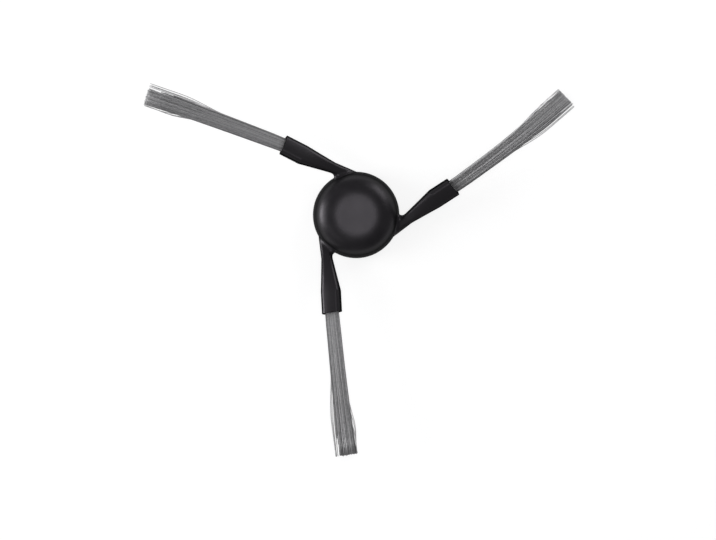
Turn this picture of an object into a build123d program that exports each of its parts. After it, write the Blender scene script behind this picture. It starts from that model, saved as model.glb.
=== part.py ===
from build123d import *
import math
import os

# Side brush of a robot vacuum cleaner: a domed hub, three arms that twist as they leave it
# and a tuft of bristles in the sleeve at the end of each arm. Sizes in millimetres and degrees.
# The drive axis is Z, the back rim lies on Z = 0 and the dome faces +Z.

# Hub: a flat crown, a shoulder that rolls over into the skirt, open at the back
hub_radius = 15.0
hub_height = 12.0
crown_radius = 5.8
shoulder_spread = 7.6        # how far out the shoulder follows the crown
skirt_rise = 7.0             # how far up the side follows the skirt
shell_wall = 2.0
rim_bevel = 0.4

# Drive socket: a square hole in a round boss that ribs brace to the skirt
socket_width = 7.0           # across flats
socket_corner = 1.0
socket_depth = 7.5
socket_lead = 0.6            # chamfer at the mouth
boss_wall = 1.6              # least wall, at the socket's corners
rib_count = 6
rib_thickness = 1.2
rib_recess = 1.5             # ribs stop this far inside the back rim

# Arms: climbing from the hub's side, then flattening and tilting outwards towards the sleeve
arm_heading = 33.0           # of the right arm, turned from +X
arm_corner = 1.5             # rounding along the arm's edges, less where it is thin
root_drift = 4.0             # turn of the root towards the hub's tangent
root_depth = 6.5             # how far the root runs on inside the hub
neck_reach = 4.3             # neck, out from where the arm's axis leaves the hub
neck_inset = 4.13            # middle of the neck, in from the hub's tangent
neck_rise = 6.2              # middle of the neck over the back rim
neck_slope = 21.0            # climb towards the dome's side
neck_width = 3.95
neck_thickness = 2.6
neck_roll = 4.0
blade_length = 11.2          # neck to sleeve
sleeve_inset = 4.9           # middle of the sleeve, in from the hub's tangent
sleeve_length = 7.6
sleeve_width = 6.9
sleeve_thickness = 4.0
sleeve_slope = 8.0
sleeve_roll = 18.0
mouth_slant = 4.5            # of the sleeve's end, its inner edge set back
junction_fillet = 1.4        # where an arm leaves the hub

# Tufts: a ridged bundle that fans out and bends, with a few loose bristles along its edges
tuft_names = ("right", "left", "lower")
tuft_root_lean = (2.0, 6.4, 2.7)     # off the sleeve's axis where each tuft leaves it
tuft_tip_lean = (9.0, 8.7, 4.0)
tuft_length = 50.6           # outside the sleeve
tuft_seat = 6.2              # inside the sleeve
tuft_width = 5.0             # at the sleeve, loose bristles included
tuft_thickness = 2.2
tip_width = 7.0
tip_thickness = 2.8
ridge_count = 24
ridge_depth = 0.2
tuft_spans = 4               # sections along the free length, less one
bristle_diameter = 0.28
bristle_sides = 6
bristle_spacing = 0.4        # between the two loose bristles at each edge
bristle_spread = (4.6, 3.4)  # how much further than the bundle each of the two leans at its tip
seat_clearance = 0.05        # between bundle, loose bristles and sleeve

# Places along an arm, with X along its heading, Y towards the hub's middle and Z up
arm_count = len(tuft_names)
hub_exit = math.sqrt(hub_radius**2 - (hub_radius - neck_inset) ** 2)
neck_place = hub_exit + neck_reach
neck_climb = math.tan(math.radians(neck_slope))
sleeve_climb = math.tan(math.radians(sleeve_slope))
root_axis = Vector(1, math.tan(math.radians(root_drift)), neck_climb)


def hub_solid(wall, rim):
    """The hub as a solid of revolution, set back by `wall`, its back rim bevelled by `rim`."""
    radius = hub_radius - wall
    height = hub_height - wall
    crown = (crown_radius, 0, height)
    shoulder = (crown_radius + shoulder_spread - wall, 0, height)
    side = Bezier(crown, shoulder, (radius, 0, skirt_rise), (radius, 0, rim))
    edge = [(radius, 0, rim), (radius - rim, 0, 0)] if rim else [(radius, 0, 0)]
    inside = Polyline(*edge, (0, 0, 0), (0, 0, height), crown)
    return revolve(Face(Wire([side, *inside.edges()])), Axis.Z)


def around(shape, count, start=0.0):
    """Copies of a shape, evenly spaced round the drive axis."""
    return [Rot(0, 0, start + 360 * k / count) * shape for k in range(count)]


def blade_plane(share):
    """Plane across an arm, `share` of the way from its neck to its sleeve, X across its width."""
    place = share * blade_length
    inset = neck_inset + share * (sleeve_inset - neck_inset)
    climb = neck_climb + share * (sleeve_climb - neck_climb)
    roll = neck_roll + share * (sleeve_roll - neck_roll)
    origin = (neck_place + place, inset - hub_radius, neck_rise + place * (neck_climb + climb) / 2)
    return Plane(Plane(origin, x_dir=(0, 1, 0), z_dir=(1, 0, climb)).location * Rot(0, 0, roll))


def arm_outline(share):
    """Rounded outline of an arm, `share` of the way from its neck to its sleeve."""
    width = neck_width + share * (sleeve_width - neck_width)
    thickness = neck_thickness + share * (sleeve_thickness - neck_thickness)
    return RectangleRounded(width, thickness, min(arm_corner, 0.45 * thickness))


def sleeve_mouth():
    """Plane across a sleeve at its open end, facing out."""
    return blade_plane(1).offset(sleeve_length)


def seat_outline(gap):
    """Section of the space that a tuft fills in its sleeve, grown by `gap`."""
    return SlotOverall(tuft_width + 2 * gap, tuft_thickness + 2 * gap)


def socket():
    """Square drive hole with a chamfered mouth."""
    outline = RectangleRounded(socket_width, socket_width, socket_corner)
    mouth = RectangleRounded(
        socket_width + 2 * socket_lead, socket_width + 2 * socket_lead, socket_corner + socket_lead
    )
    lead = loft([mouth, Pos(0, 0, socket_lead) * outline])
    return extrude(outline, amount=socket_depth) + lead


def cavity():
    """Open space behind the dome, around the boss and between the ribs."""
    corner = (socket_width / 2 - socket_corner) * math.sqrt(2) + socket_corner
    boss = Cylinder(corner + boss_wall, 2 * hub_height)
    rib = Box(hub_radius, rib_thickness, hub_height, align=(Align.MIN, Align.CENTER, Align.MIN))
    return hub_solid(shell_wall, 0) - boss - around(Pos(0, 0, rib_recess) * rib, rib_count)


def arm_blade():
    """One arm from its neck to the slanted end of its sleeve, without the tuft's seat."""
    blade = loft([blade_plane(share) * arm_outline(share) for share in (0, 0.5, 1)])
    slanted = sleeve_mouth() * Rot(0, mouth_slant, 0) * arm_outline(1)
    return blade + loft([blade_plane(1) * arm_outline(1), slanted], ruled=True)


def hub_and_arms():
    """Hub, arms and sleeves, moulded as one piece."""
    dome = hub_solid(0, rim_bevel)
    root = extrude(blade_plane(0) * arm_outline(0), amount=-(neck_reach + root_depth), dir=root_axis)
    roots = around(root, arm_count, arm_heading)
    rooted = dome + roots
    body = rooted.fillet(junction_fillet, new_edges(dome, *roots, combined=rooted))
    body += around(arm_blade(), arm_count, arm_heading)
    seat = Pos(0, 0, -tuft_seat) * extrude(seat_outline(seat_clearance), amount=tuft_seat + sleeve_width)
    body -= around(sleeve_mouth() * seat, arm_count, arm_heading)
    return body - cavity() - socket()


def bundle_outline(share):
    """Outline of a tuft's bundle, `share` of the way to its tip: ridges along an ellipse."""
    seated_width = tuft_width - 2 * (bristle_diameter + seat_clearance)
    half_width = (seated_width + share**2 * (tip_width - seated_width)) / 2
    half_thickness = (tuft_thickness + share**2 * (tip_thickness - tuft_thickness)) / 2
    points = []
    for k in range(2 * ridge_count):
        angle = math.pi * k / ridge_count
        groove = ridge_depth * (k % 2)
        points.append(((half_width - groove) * math.cos(angle), (half_thickness - groove) * math.sin(angle)))
    return make_face(Polyline(points, close=True))


def bristle_outline(share):
    """Outline of one loose bristle, the same all the way."""
    return RegularPolygon(bristle_diameter / 2, bristle_sides)


def bend(share, root_lean, tip_lean):
    """Place `share` of the way along a tuft that turns steadily from one lean to the other."""
    if share == 0:
        return Pos(0, 0, 0)
    lean = root_lean + share * (tip_lean - root_lean)
    half_turn = math.radians(lean - root_lean) / 2
    straightness = math.sin(half_turn) / half_turn if half_turn else 1
    chord = share * tuft_length * straightness
    middle = math.radians(lean + root_lean) / 2
    return Pos(chord * math.sin(middle), 0, chord * math.cos(middle)) * Rot(0, lean, 0)


def grown(outline, place, root_lean, tip_lean):
    """Solid that starts at `place` in the sleeve, leaves it along Z and bends towards X."""
    shares = [step / tuft_spans for step in range(tuft_spans + 1)]
    free = loft([bend(share, root_lean, tip_lean) * place * outline(share) for share in shares])
    return free + extrude(place * outline(0), amount=-tuft_seat)


def tuft(root_lean, tip_lean):
    """One tuft: its bundle, and two loose bristles along each edge."""
    solids = [grown(bundle_outline, Pos(0, 0), root_lean, tip_lean)]
    for side in (-1, 1):
        across = side * (tuft_width - bristle_diameter) / 2
        for row, spread in zip((-0.5, 0.5), bristle_spread):
            place = Pos(across, row * bristle_spacing)
            solids.append(grown(bristle_outline, place, root_lean, tip_lean + side * spread))
    return Compound(solids)


os.makedirs("parts", exist_ok=True)
export_step(hub_and_arms(), "parts/hub_and_arms.step")
for k, name in enumerate(tuft_names):
    seated = sleeve_mouth() * tuft(tuft_root_lean[k], tuft_tip_lean[k])
    turn = Rot(0, 0, arm_heading + 360 * k / arm_count)
    export_step(turn * seated, f"parts/bristle_tuft_{name}.step")
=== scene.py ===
import math
import random
import bmesh
import bpy
from mathutils import Matrix, Vector


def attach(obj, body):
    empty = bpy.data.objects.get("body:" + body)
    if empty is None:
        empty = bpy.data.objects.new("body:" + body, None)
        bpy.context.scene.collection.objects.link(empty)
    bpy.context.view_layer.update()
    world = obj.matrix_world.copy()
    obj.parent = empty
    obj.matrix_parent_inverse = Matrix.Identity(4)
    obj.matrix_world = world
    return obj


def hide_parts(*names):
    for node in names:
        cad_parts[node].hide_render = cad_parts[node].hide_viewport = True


# Side brush of a robot vacuum, lying on its back rim with the dome up. Metres.
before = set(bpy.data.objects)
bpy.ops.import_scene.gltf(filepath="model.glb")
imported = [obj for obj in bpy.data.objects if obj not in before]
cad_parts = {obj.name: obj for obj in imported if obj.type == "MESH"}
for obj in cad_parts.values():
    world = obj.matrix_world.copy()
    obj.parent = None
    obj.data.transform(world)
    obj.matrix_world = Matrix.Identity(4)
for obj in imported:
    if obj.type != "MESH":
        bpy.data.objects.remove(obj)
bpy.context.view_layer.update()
print("frame loaded:", ", ".join(sorted(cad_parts)))

armNames = ("right", "left", "lower")       # evenly round the drive axis
armHeading = 33.0                           # of the right arm, degrees from X


class Field:                                # a shader socket that takes part in sums
    def __init__(self, finish, socket):
        self.finish = finish
        self.socket = socket

    def __add__(self, other):
        return self.finish.maths("ADD", self, other)

    def __sub__(self, other):
        return self.finish.maths("SUBTRACT", self, other)

    def __rsub__(self, other):
        return self.finish.maths("SUBTRACT", other, self)

    def __mul__(self, other):
        return self.finish.maths("MULTIPLY", self, other)

    __radd__ = __add__
    __rmul__ = __mul__


class Finish:                               # one node tree: a material's or the world's
    def __init__(self, owner):
        owner.use_nodes = True
        self.tree = owner.node_tree
        self.tree.nodes.clear()

    def node(self, kind, settings, sockets, output=0):
        made = self.tree.nodes.new(kind)
        for key, value in settings.items():
            setattr(made, key, value)
        for key, value in sockets.items():
            if isinstance(value, Field):
                self.tree.links.new(value.socket, made.inputs[key])
            else:
                made.inputs[key].default_value = value
        return Field(self, made.outputs[output]) if made.outputs else None

    def maths(self, operation, *values):
        return self.node("ShaderNodeMath", {"operation": operation}, dict(enumerate(values)))

    def axis(self, vector, name):           # one number of a vector
        return self.node("ShaderNodeSeparateXYZ", {}, {"Vector": vector}, name)

    def noise(self, place, size, detail):   # cloudy 0 to 1, with lumps about this large
        sockets = {"Vector": place, "Scale": 1 / size, "Detail": detail}
        return self.node("ShaderNodeTexNoise", {}, sockets)

    def blend(self, share, first, second):  # from one colour to the other
        return self.node("ShaderNodeMix", {"data_type": "RGBA"}, {0: share, 6: first, 7: second}, 2)

    def curb(self, value, low, high):       # the part between low and high, spread to 0 to 1
        sockets = {"Value": value, "From Min": low, "From Max": high}
        return self.node("ShaderNodeMapRange", {"clamp": True}, sockets)


# Black moulding: satin on top, matt on the hub's sides and dull on the arms' sides, both in a darker colour
# that is painted shade, with a fine grain
mouldingLook = {
    "dark": (0.0069, 0.0065, 0.0074, 1),
    "pale": (0.0114, 0.0107, 0.0120, 1),
    # the arms' own black, made paler than the hub's with painted light on their tops
    "armColourAndLight": (0.0105, 0.0099, 0.0108, 1),
    # painted shade: the darker colour of every surface that faces sideways
    "sidePaintedShade": (0.0042, 0.0041, 0.0045, 1),
    "cloudSize": 0.006,
    "cloudDetail": 3,
    "cloudRange": (0.35, 0.65),             # of the noise that is spread to 0 to 1
    "cloudShare": 0.6,                      # of the hub's mottle, the rest comes from the grain
    "grainSize": 0.00028,
    "grainDetail": 2,
    "grainDepth": 0.000012,
    "grainStrength": 0.35,
    "roughness": 0.36,
    "roughnessSpread": 0.03,
    "armRoughness": -0.03,                  # added on the arms
    "armFrom": (0.0150, 0.0175),            # out from the drive axis, where hub turns to arm
    "armAside": 0.0103,                     # of an arm's middle, from a radius along its heading
    "armCrown": 30.0,                       # how fast the top rounds off to both edges, per metre
    "shadedSideFrom": (0.40, 0.66),               # how far up a surface faces, side first and then top, from full painted shade to none
    "armShadedSide": 0.18,                        # added to both on the arms, so more of their sides take the painted shade
    "sideRoughness": 0.7,
    "sideGloss": 0.03,                      # of the hub's sides, the arms' have none
    "gloss": 0.18,
    "glossTint": (1.0, 0.94, 1.03, 1),
}


def blackMoulding(look):
    material = bpy.data.materials.new("blackMoulding")
    finish = Finish(material)
    place = finish.node("ShaderNodeTexCoord", {}, {}, "Object")
    facing = finish.node("ShaderNodeTexCoord", {}, {}, "Normal")
    level = finish.node("ShaderNodeVectorMath", {"operation": "MULTIPLY"}, {0: place, 1: (1, 1, 0)})
    reach = finish.node("ShaderNodeVectorMath", {"operation": "LENGTH"}, {0: level}, "Value")
    arm = finish.curb(reach, *look["armFrom"])
    clouds = finish.noise(place, look["cloudSize"], look["cloudDetail"])
    clouds = finish.curb(clouds, *look["cloudRange"])
    grain = finish.noise(place, look["grainSize"], look["grainDetail"])

    # the nearest arm's rounded top, measured across from its middle, and the grain over all
    halfStep = math.pi / len(armNames)
    turn = finish.maths("ARCTAN2", finish.axis(place, "Y"), finish.axis(place, "X"))
    turn = finish.maths("WRAP", turn - math.radians(armHeading), halfStep, -halfStep)
    across = reach * finish.maths("SINE", turn) + look["armAside"]
    crown = finish.node("ShaderNodeBump", {}, {
        "Strength": 1.0, "Distance": 1.0, "Height": across * across * arm * -look["armCrown"]})
    bump = finish.node("ShaderNodeBump", {}, {
        "Strength": look["grainStrength"], "Distance": look["grainDepth"], "Height": grain, "Normal": crown})

    roughness = look["roughness"] + look["roughnessSpread"] * (clouds - 0.5)
    mottle = clouds * look["cloudShare"] + grain * (1 - look["cloudShare"])
    hubColour = finish.blend(mottle, look["dark"], look["pale"])
    # the arms' tops take the paler colour, which is partly painted light
    satin = finish.node("ShaderNodeBsdfPrincipled", {}, {
        "Base Color": finish.blend(arm, hubColour, look["armColourAndLight"]),
        "Roughness": roughness + look["armRoughness"] * arm,
        "Specular IOR Level": look["gloss"], "Specular Tint": look["glossTint"], "Normal": bump})
    # the sides: matt on the hub, dull on the arms, both in a darker colour that is painted shade
    mattShadedSide = finish.node("ShaderNodeBsdfPrincipled", {}, {
        "Base Color": look["sidePaintedShade"], "Roughness": look["sideRoughness"],
        "Specular IOR Level": look["sideGloss"], "Normal": bump})
    dullShadedSide = finish.node("ShaderNodeBsdfDiffuse", {}, {"Color": look["sidePaintedShade"], "Normal": bump})
    side = finish.node("ShaderNodeMixShader", {}, {0: arm, 1: mattShadedSide, 2: dullShadedSide})
    # share that faces up; the rest takes the painted shade of the sides
    top = finish.curb(finish.axis(facing, "Z") - look["armShadedSide"] * arm, *look["shadedSideFrom"])
    shader = finish.node("ShaderNodeMixShader", {}, {0: top, 1: side, 2: satin})
    finish.node("ShaderNodeOutputMaterial", {}, {"Surface": shader})
    return material


# Grey nylon: every bristle has its own tone, with painted light and shade along it, between tufts and at the
# bundle's edges, flecked along its length and with painted shade at the cut end
nylonLook = {
    "dark": (0.127, 0.126, 0.129, 1),
    "pale": (0.505, 0.499, 0.510, 1),
    "tipShade": 0.24,                       # painted shade at the cut ends
    "tipFrom": 0.93,                        # of the free length
    "fleckSize": 0.0007,
    "fleckDetail": 2,
    "fleck": 0.6,
    "roughness": 0.42,
    "roughnessSpread": 0.16,
    "gloss": 0.6,
}


def greyNylon(look):
    material = bpy.data.materials.new("greyNylon")
    finish = Finish(material)
    place = finish.node("ShaderNodeTexCoord", {}, {}, "Object")
    tone = finish.node("ShaderNodeAttribute", {"attribute_name": "tone"}, {}, "Fac")
    along = finish.node("ShaderNodeAttribute", {"attribute_name": "along"}, {}, "Fac")
    fleck = finish.noise(place, look["fleckSize"], look["fleckDetail"]) - 0.5
    # painted shade at the cut ends, taken off the tone, which already carries painted light and shade
    tip = finish.curb(along, look["tipFrom"], 1)
    share = tone + look["fleck"] * fleck - look["tipShade"] * tip
    shader = finish.node("ShaderNodeBsdfPrincipled", {}, {
        "Base Color": finish.blend(share, look["dark"], look["pale"]),
        "Roughness": look["roughness"] + look["roughnessSpread"] * fleck,
        "Specular IOR Level": look["gloss"]})
    finish.node("ShaderNodeOutputMaterial", {}, {"Surface": shader})
    return material


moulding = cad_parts["hub_and_arms"]
moulding.data.materials[0] = blackMoulding(mouldingLook)
nylon = greyNylon(nylonLook)
print("finishes made")


# Tufts: bristles packed in the slot of each sleeve, fanning out and bending to one side
tuftShape = {
    "rootLean": (2.0, 6.4, 2.7),            # of each tuft, degrees off the sleeve's axis
    "tipLean": (9.0, 8.7, 4.0),
    "lengths": (0.0502, 0.0507, 0.0498),    # outside the sleeve
    "rootToneAndLight": (0.14, 0.44, 0.34),         # 0 dark to 1 pale, on average, with painted light and shade that differ from tuft to tuft and from root to tip
    "tipToneAndLight": (0.46, 0.39, 0.24),
    "toneSpread": 0.22,                     # between neighbours
    "toneSteps": (0.618, 0.755),            # along a row and from row to row, so that no band forms
    "toneDrift": 0.05,
    "edgePaintedShade": -0.38,                      # painted shade, added at both edges
    "edgeShadeFrom": 0.8,                        # of the half width, where the painted shade of the edges starts
    "slope": 8.0,                           # of a sleeve, degrees
    "roll": 18.0,
    "mouth": (0.03336, -0.0101, 0.01019),   # of a sleeve, along the arm's heading, aside and up
    "seat": 0.006,                          # inside the sleeve
    "rootWidth": 0.0049,
    "rootThickness": 0.0021,
    "tipWidth": 0.0061,                     # without the loose bristles
    "tipThickness": 0.0026,
    "fan": 1.3,                             # power that the width grows by
    "flare": 0.00016,                       # width gained just outside the sleeve
    "flareEnd": 0.05,                       # of the free length
    "bristle": 0.00026,                     # across
    "pitch": 0.000275,
    "rowStep": 0.87,                        # between rows, in pitches
    "rowStart": 0.25,                       # first bristle of a row, in pitches
    "stagger": 0.5,                         # added in every second row
    "sides": 5,
    "spans": 9,
    "looseSpans": 21,                       # the loose ones bend more
    "cutSpread": 0.0001,                    # how unevenly the ends are cut
    "lockCount": 16,                        # groups of bristles that lean together
    "lockDepth": 0.3,                       # how much a place through the tuft counts for the nearest
    "lockPull": 0.03,
    "lockDrift": 0.00010,
    "lockPace": 3,                          # radians to the tip
    "ownDrift": 0.00016,
    "ownPace": (1.5, 4),
    "loose": {                              # at the outer and the inner edge, first strand to last
        -1: {"count": 5, "bow": (0.0003, 0.0019), "start": (0.46, 0.36), "back": (0.15, 0.15)},
        1: {"count": 3, "bow": (0.0013, 0.0009), "start": (0.54, 0.74), "back": (0.9, 0.0)},
    },
    "looseStep": (0.2, 0.8),                # where a strand stands within its step from first to last
    "looseAcross": (0.88, 0.98),            # of the half width
    "looseThrough": 0.6,                    # of the half thickness, to either side
    "looseStart": 0.05,                     # how unevenly they start, either way
    "looseTone": 0.25,
    "bowPace": 1.6,                         # over 1, fully out before the tip
    "backFrom": 0.55,                       # of the bowed part
    "worn": {"from": -0.74, "odds": 0.93, "end": (0.77, 0.92)},    # outer edge, where many end early
    "seed": 7,
}


def bristleBlank(shape, spans):
    # one straight bristle of unit length, in rings that can be bent
    bm = bmesh.new()
    bmesh.ops.create_circle(bm, cap_ends=True, segments=shape["sides"], radius=shape["bristle"] / 2)
    end = bm.faces[:]
    for span in range(spans):
        grown = bmesh.ops.extrude_face_region(bm, geom=end)["geom"]
        end = [item for item in grown if isinstance(item, bmesh.types.BMFace)]
        ring = [item for item in grown if isinstance(item, bmesh.types.BMVert)]
        bmesh.ops.translate(bm, vec=(0, 0, 1 / spans), verts=ring)
    bmesh.ops.recalc_face_normals(bm, faces=bm.faces)
    mesh = bpy.data.meshes.new("bristleBlank")
    bm.to_mesh(mesh)
    bm.free()
    return mesh


def tuftFrame(shape, arm):
    # place of a sleeve's mouth: X across the tuft, Y through it, Z out
    turn = Matrix.Rotation(math.radians(armHeading + 360 / len(armNames) * arm), 4, "Z")
    slope = math.radians(shape["slope"])
    out = Vector((math.cos(slope), 0, math.sin(slope)))
    across = Vector((0, 1, 0))
    axes = Matrix((across, out.cross(across), out)).transposed().to_4x4()
    roll = Matrix.Rotation(math.radians(shape["roll"]), 4, "Z")
    return turn @ Matrix.Translation(shape["mouth"]) @ axes @ roll


def bentFrame(shape, arm, share):
    # place and turn of the tuft's section, this share of the way to its tip
    length = share * shape["lengths"][arm]
    if share <= 0:
        return Matrix.Translation((0, 0, length))
    root = math.radians(shape["rootLean"][arm])
    lean = root + share * (math.radians(shape["tipLean"][arm]) - root)
    middle = (root + lean) / 2
    step = Matrix.Translation((length * math.sin(middle), 0, length * math.cos(middle)))
    return step @ Matrix.Rotation(lean, 4, "Y")


def slotShare(shape, through):
    # share of the slot's width that is left this far through it, because its ends are round
    return 1 - shape["rootThickness"] / shape["rootWidth"] * (1 - math.sqrt(1 - through ** 2))


def packedBristles(shape, rand):
    # staggered rows that fill the slot, -1 to 1 across and through
    width, thickness, pitch = shape["rootWidth"], shape["rootThickness"], shape["pitch"]
    alongRow, toNextRow = shape["toneSteps"]
    wornEdge = shape["worn"]
    rows = int(thickness / (pitch * shape["rowStep"]))
    for row in range(rows):
        through = (row + 0.5) / rows * 2 - 1
        flat = slotShare(shape, through)
        count = int(flat * width / pitch)
        for k in range(count):
            across = (k + shape["rowStart"] + shape["stagger"] * (row % 2)) / count * 2 - 1
            worn = across < wornEdge["from"] and rand.random() < wornEdge["odds"]
            # painted shade that darkens the bristles toward both edges
            edge = max(abs(across) - shape["edgeShadeFrom"], 0) / (1 - shape["edgeShadeFrom"])
            own = (alongRow * k + toNextRow * row) % 1 * 2 - 1
            yield {"across": across, "through": through * (1 - pitch / thickness), "flat": flat,
                   "tone": shape["toneSpread"] * own + shape["edgePaintedShade"] * edge,
                   "end": rand.uniform(*wornEdge["end"]) if worn else 1}


def looseBristles(shape, rand):
    # a few that bow out of the bundle's edges
    for side, edge in shape["loose"].items():
        for k in range(edge["count"]):
            part = (k + rand.uniform(*shape["looseStep"])) / edge["count"]
            bow, start, back = (first + part * (last - first) for first, last in (
                edge["bow"], edge["start"], edge["back"]))
            across = side * rand.uniform(*shape["looseAcross"])
            through = rand.uniform(-shape["looseThrough"], shape["looseThrough"])
            yield {"across": across, "through": through, "flat": slotShare(shape, through),
                   "tone": shape["looseTone"], "end": 1, "bow": side * bow,
                   "start": start + rand.uniform(-shape["looseStart"], shape["looseStart"]), "back": back}


def bowed(shape, bristle, share):
    # swings out after its start and comes part of the way back at the tip
    if share <= bristle["start"]:
        return 0
    part = (share - bristle["start"]) / (1 - bristle["start"])
    swing = math.sin(min(part * shape["bowPace"], 1) * math.pi / 2) ** 2
    back = max(part - shape["backFrom"], 0) / (1 - shape["backFrom"])
    return bristle["bow"] * swing * (1 - bristle["back"] * back)


def nearestLock(shape, bristle, locks):
    def distance(lock):
        aside = abs(lock["across"] - bristle["across"])
        return aside + shape["lockDepth"] * abs(lock["through"] - bristle["through"])

    return min(locks, key=distance)


def bristlePath(shape, bristle, locks, rand):
    # a function from a share of the free length to the bristle's place in the tuft's section
    lock = nearestLock(shape, bristle, locks)
    swing = rand.uniform(0, math.tau)
    pace = rand.uniform(*shape["ownPace"])
    aside = rand.gauss(0, shape["ownDrift"])
    lift = rand.gauss(0, shape["ownDrift"])

    def path(share):
        free = max(share, 0)
        fan = free ** shape["fan"]
        width = shape["rootWidth"] + fan * (shape["tipWidth"] - shape["rootWidth"])
        width += shape["flare"] * min(free / shape["flareEnd"], 1)
        thickness = shape["rootThickness"] + fan * (shape["tipThickness"] - shape["rootThickness"])
        across = bristle["across"] * (bristle["flat"] + fan * (1 - bristle["flat"]))
        loose = "bow" in bristle
        if not loose:
            across += shape["lockPull"] * free * (lock["across"] - across)
        x = across * width / 2
        x += free * shape["lockDrift"] * math.sin(lock["sway"] + shape["lockPace"] * free)
        x += aside * free * math.sin(swing + pace * free)
        if loose:
            x += bowed(shape, bristle, share)
        y = bristle["through"] * thickness / 2 + lift * free * math.cos(swing + pace * free)
        return Vector((x, y, 0))

    return path


def makeTuft(shape, arm, blanks):
    rand = random.Random(shape["seed"] + arm)
    name = "bristles_" + armNames[arm]
    mouth = tuftFrame(shape, arm)
    length = shape["lengths"][arm]
    inside = shape["seat"] / length
    # painted light and shade, changing from the root to the tip
    paintedLightToTip = shape["tipToneAndLight"][arm] - shape["rootToneAndLight"][arm]
    locks = [{"across": rand.uniform(-1, 1), "through": rand.uniform(-1, 1),
              "sway": rand.uniform(0, math.tau)} for k in range(shape["lockCount"])]
    bristles = [*packedBristles(shape, rand), *looseBristles(shape, rand)]
    bm = bmesh.new()
    toneLayer = bm.verts.layers.float.new("tone")
    alongLayer = bm.verts.layers.float.new("along")
    for bristle in bristles:
        path = bristlePath(shape, bristle, locks, rand)
        end = bristle["end"] + rand.gauss(0, shape["cutSpread"]) / length
        tone = rand.gauss(shape["rootToneAndLight"][arm], shape["toneDrift"]) + bristle["tone"]
        twist = Matrix.Rotation(rand.uniform(0, math.tau), 4, "Z")
        first = len(bm.verts)
        bm.from_mesh(blanks["loose" if "bow" in bristle else "packed"])
        bm.verts.ensure_lookup_table()
        for vert in bm.verts[first:]:
            share = vert.co.z * (end + inside) - inside
            ring = twist @ Vector((vert.co.x, vert.co.y, 0))
            vert.co = mouth @ bentFrame(shape, arm, share) @ (path(share) + ring)
            vert[toneLayer] = tone + paintedLightToTip * max(share, 0)
            vert[alongLayer] = max(share, 0)
    for face in bm.faces:
        face.smooth = len(face.verts) == 4  # all but the two ends
    mesh = bpy.data.meshes.new(name)
    bm.to_mesh(mesh)
    bm.free()
    mesh.materials.append(nylon)
    tuft = bpy.data.objects.new(name, mesh)
    bpy.context.scene.collection.objects.link(tuft)
    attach(tuft, "root")
    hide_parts("bristle_tuft_" + armNames[arm])
    print(name, len(bristles), "bristles", len(mesh.polygons), "faces")


blanks = {"packed": bristleBlank(tuftShape, tuftShape["spans"]),
          "loose": bristleBlank(tuftShape, tuftShape["looseSpans"])}
for arm in range(len(armNames)):
    makeTuft(tuftShape, arm, blanks)


# Studio: a pale floor, a soft box overhead, a strip and a panel at the left and two weak fills
studio = {
    "floorRadius": 4.0,
    "floorSides": 96,
    "floorColour": (0.95, 0.95, 0.95, 1),
    "floorGlow": 0.7,                       # share of plain white seen in the floor
    "floorWhite": 1.05,                     # strength of it, makes up for the light that falls off
    "whiteFor": ("Is Camera Ray", "Is Glossy Ray", "Is Transmission Ray"),
    "worldColour": (0.30, 0.30, 0.307, 1),
    "lampAim": (0, 0, 0.006),
    "width": 0.24804,                       # of the picture, at the hub
    "lens": 400.0,                          # millimetres, as is the sensor
    "sensor": 36.0,
    "clipEnd": 20.0,
    "target": (0.000641, -0.01909, 0.004),
}
lamps = {                                   # place, size across and up, and how bright the face is
    "overhead": {"place": (0.0, 0.0, 0.95), "size": (0.25, 0.25), "bright": 14.3},
    "leftStrip": {"place": (-0.75, 0.02, 0.09), "size": (0.40, 0.18), "bright": 21.3},
    "leftPanel": {"place": (-0.68, 0.02, 0.32), "size": (0.40, 0.30), "bright": 6.0},
    "rightFill": {"place": (0.50, 0.50, 0.25), "size": (0.40, 0.44), "bright": 5.3},
    "lowerFill": {"place": (-0.42, -0.42, 0.55), "size": (0.30, 0.30), "bright": 1.3},
}


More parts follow.
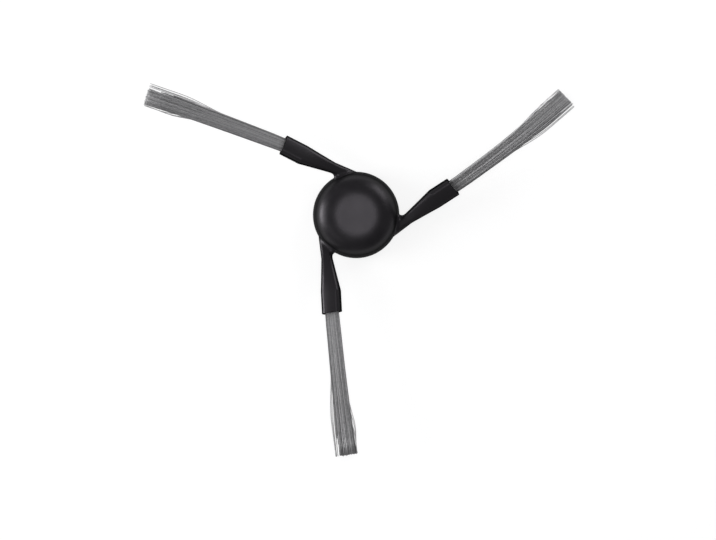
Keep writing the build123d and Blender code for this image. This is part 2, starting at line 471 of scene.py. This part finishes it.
def makeFloor(look):
    bm = bmesh.new()
    bmesh.ops.create_circle(bm, cap_ends=True, segments=look["floorSides"], radius=look["floorRadius"])
    mesh = bpy.data.meshes.new("floor")
    bm.to_mesh(mesh)
    bm.free()
    floor = bpy.data.objects.new("floor", mesh)
    bpy.context.scene.collection.objects.link(floor)
    material = bpy.data.materials.new("paleFloor")
    finish = Finish(material)
    diffuse = finish.node("ShaderNodeBsdfDiffuse", {}, {"Color": look["floorColour"]})
    white = finish.node("ShaderNodeEmission", {}, {"Strength": look["floorWhite"]})
    rays = [finish.node("ShaderNodeLightPath", {}, {}, ray) for ray in look["whiteFor"]]
    share = sum(rays[1:], rays[0]) * look["floorGlow"]
    shader = finish.node("ShaderNodeMixShader", {}, {0: share, 1: diffuse, 2: white})
    finish.node("ShaderNodeOutputMaterial", {}, {"Surface": shader})
    mesh.materials.append(material)


def makeLamp(name, look, target):
    lamp = bpy.data.lights.new(name, "AREA")
    lamp.shape = "RECTANGLE"
    lamp.size, lamp.size_y = look["size"]
    lamp.energy = math.pi * lamp.size * lamp.size_y * look["bright"]
    holder = bpy.data.objects.new(name, lamp)
    holder.location = look["place"]
    aim = Vector(target) - Vector(look["place"])
    holder.rotation_euler = aim.to_track_quat("-Z", "Y").to_euler()
    bpy.context.scene.collection.objects.link(holder)


def makeCamera(look):
    camera = bpy.data.cameras.new("camera")
    camera.lens = look["lens"]
    camera.sensor_width = look["sensor"]
    camera.clip_end = look["clipEnd"]
    holder = bpy.data.objects.new("camera", camera)
    away = look["width"] * camera.lens / camera.sensor_width
    holder.location = Vector(look["target"]) + Vector((0, 0, away))     # unturned, it looks straight down
    bpy.context.scene.collection.objects.link(holder)
    bpy.context.scene.camera = holder
    print("camera set", round(away, 3), "m above")


def makeStudio(look):
    scene = bpy.context.scene
    makeFloor(look)
    world = bpy.data.worlds.new("studio")
    finish = Finish(world)
    glow = finish.node("ShaderNodeBackground", {}, {"Color": look["worldColour"]})
    finish.node("ShaderNodeOutputWorld", {}, {"Surface": glow})
    scene.world = world
    for name, lamp in lamps.items():
        makeLamp(name, lamp, look["lampAim"])
    scene.view_settings.view_transform = "Standard"
    print("studio lit by", len(lamps), "lamps")


makeStudio(studio)
makeCamera(studio)
